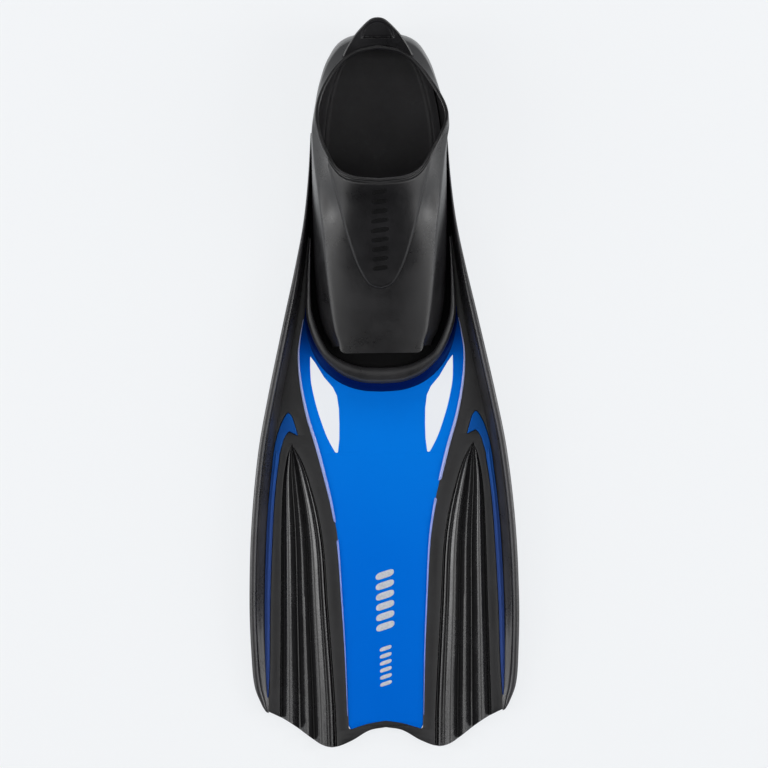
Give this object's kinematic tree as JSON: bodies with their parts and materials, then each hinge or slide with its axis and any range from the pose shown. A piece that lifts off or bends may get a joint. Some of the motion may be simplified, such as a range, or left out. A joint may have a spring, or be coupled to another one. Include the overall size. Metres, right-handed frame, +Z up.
{
  "type": "full-foot swim fin",
  "caption": "Full-foot swim fin: closed-heel rubber foot pocket with an open toe, and a stiff vented blade edged by tall rails and soft scooping channels.",
  "frame": {"origin": "on the floor below the middle of the fin's length and width, lying on its sole", "axes": "+X to the wearer's left, +Y towards the heel (the blade's tip is at -Y), +Z up out of the ankle opening"},
  "size_m": [0.23, 0.6205, 0.0885],
  "materials": {
    "pocket_rubber": "satin black moulded soft rubber",
    "collar_rubber": "satin dark grey moulded rubber",
    "blade_rubber": "dark grey rubber, fine matt grain with glossier rounded edges",
    "channel_rubber": "satin black thin flexible rubber",
    "sole_rubber": "matt black rubber",
    "core_plastic": "bright blue glossy moulded polymer"
  },
  "bodies": {
    "foot_pocket": {"pocket_upper": "pocket_rubber", "instep_tongue": "pocket_rubber", "toe_collar": "collar_rubber", "sole": "sole_rubber", "footbed": "sole_rubber", "ball_tread": "sole_rubber", "heel_tread": "sole_rubber", "core_root": "core_plastic", "left_frame_root": "blade_rubber", "right_frame_root": "blade_rubber", "left_batten_hook": "core_plastic", "right_batten_hook": "core_plastic", "left_rail_root": "blade_rubber", "right_rail_root": "blade_rubber"},
    "heel_tab": {"heel_pull_tab": "pocket_rubber"},
    "blade": {"blade_panel": "core_plastic", "tip_trim": "blade_rubber", "left_rail": "blade_rubber", "left_inner_frame": "blade_rubber", "left_channel": "channel_rubber", "left_outer_frame": "blade_rubber", "left_batten": "core_plastic", "right_rail": "blade_rubber", "right_inner_frame": "blade_rubber", "right_channel": "channel_rubber", "right_outer_frame": "blade_rubber", "right_batten": "core_plastic"}
  },
  "joints": [
    {"name": "blade_flex", "type": "hinge", "parent": "foot_pocket", "child": "blade", "pos_m": [0, -0.064, 0.0098], "axis": [1, 0, 0], "range_deg": [-25, 25], "stiffness_Nm_per_rad": 30},
    {"name": "heel_tab_flex", "type": "hinge", "parent": "foot_pocket", "child": "heel_tab", "pos_m": [0, 0.288, 0.0665], "axis": [1, 0, 0], "range_deg": [-30, 50], "stiffness_Nm_per_rad": 0.3}
  ]
}
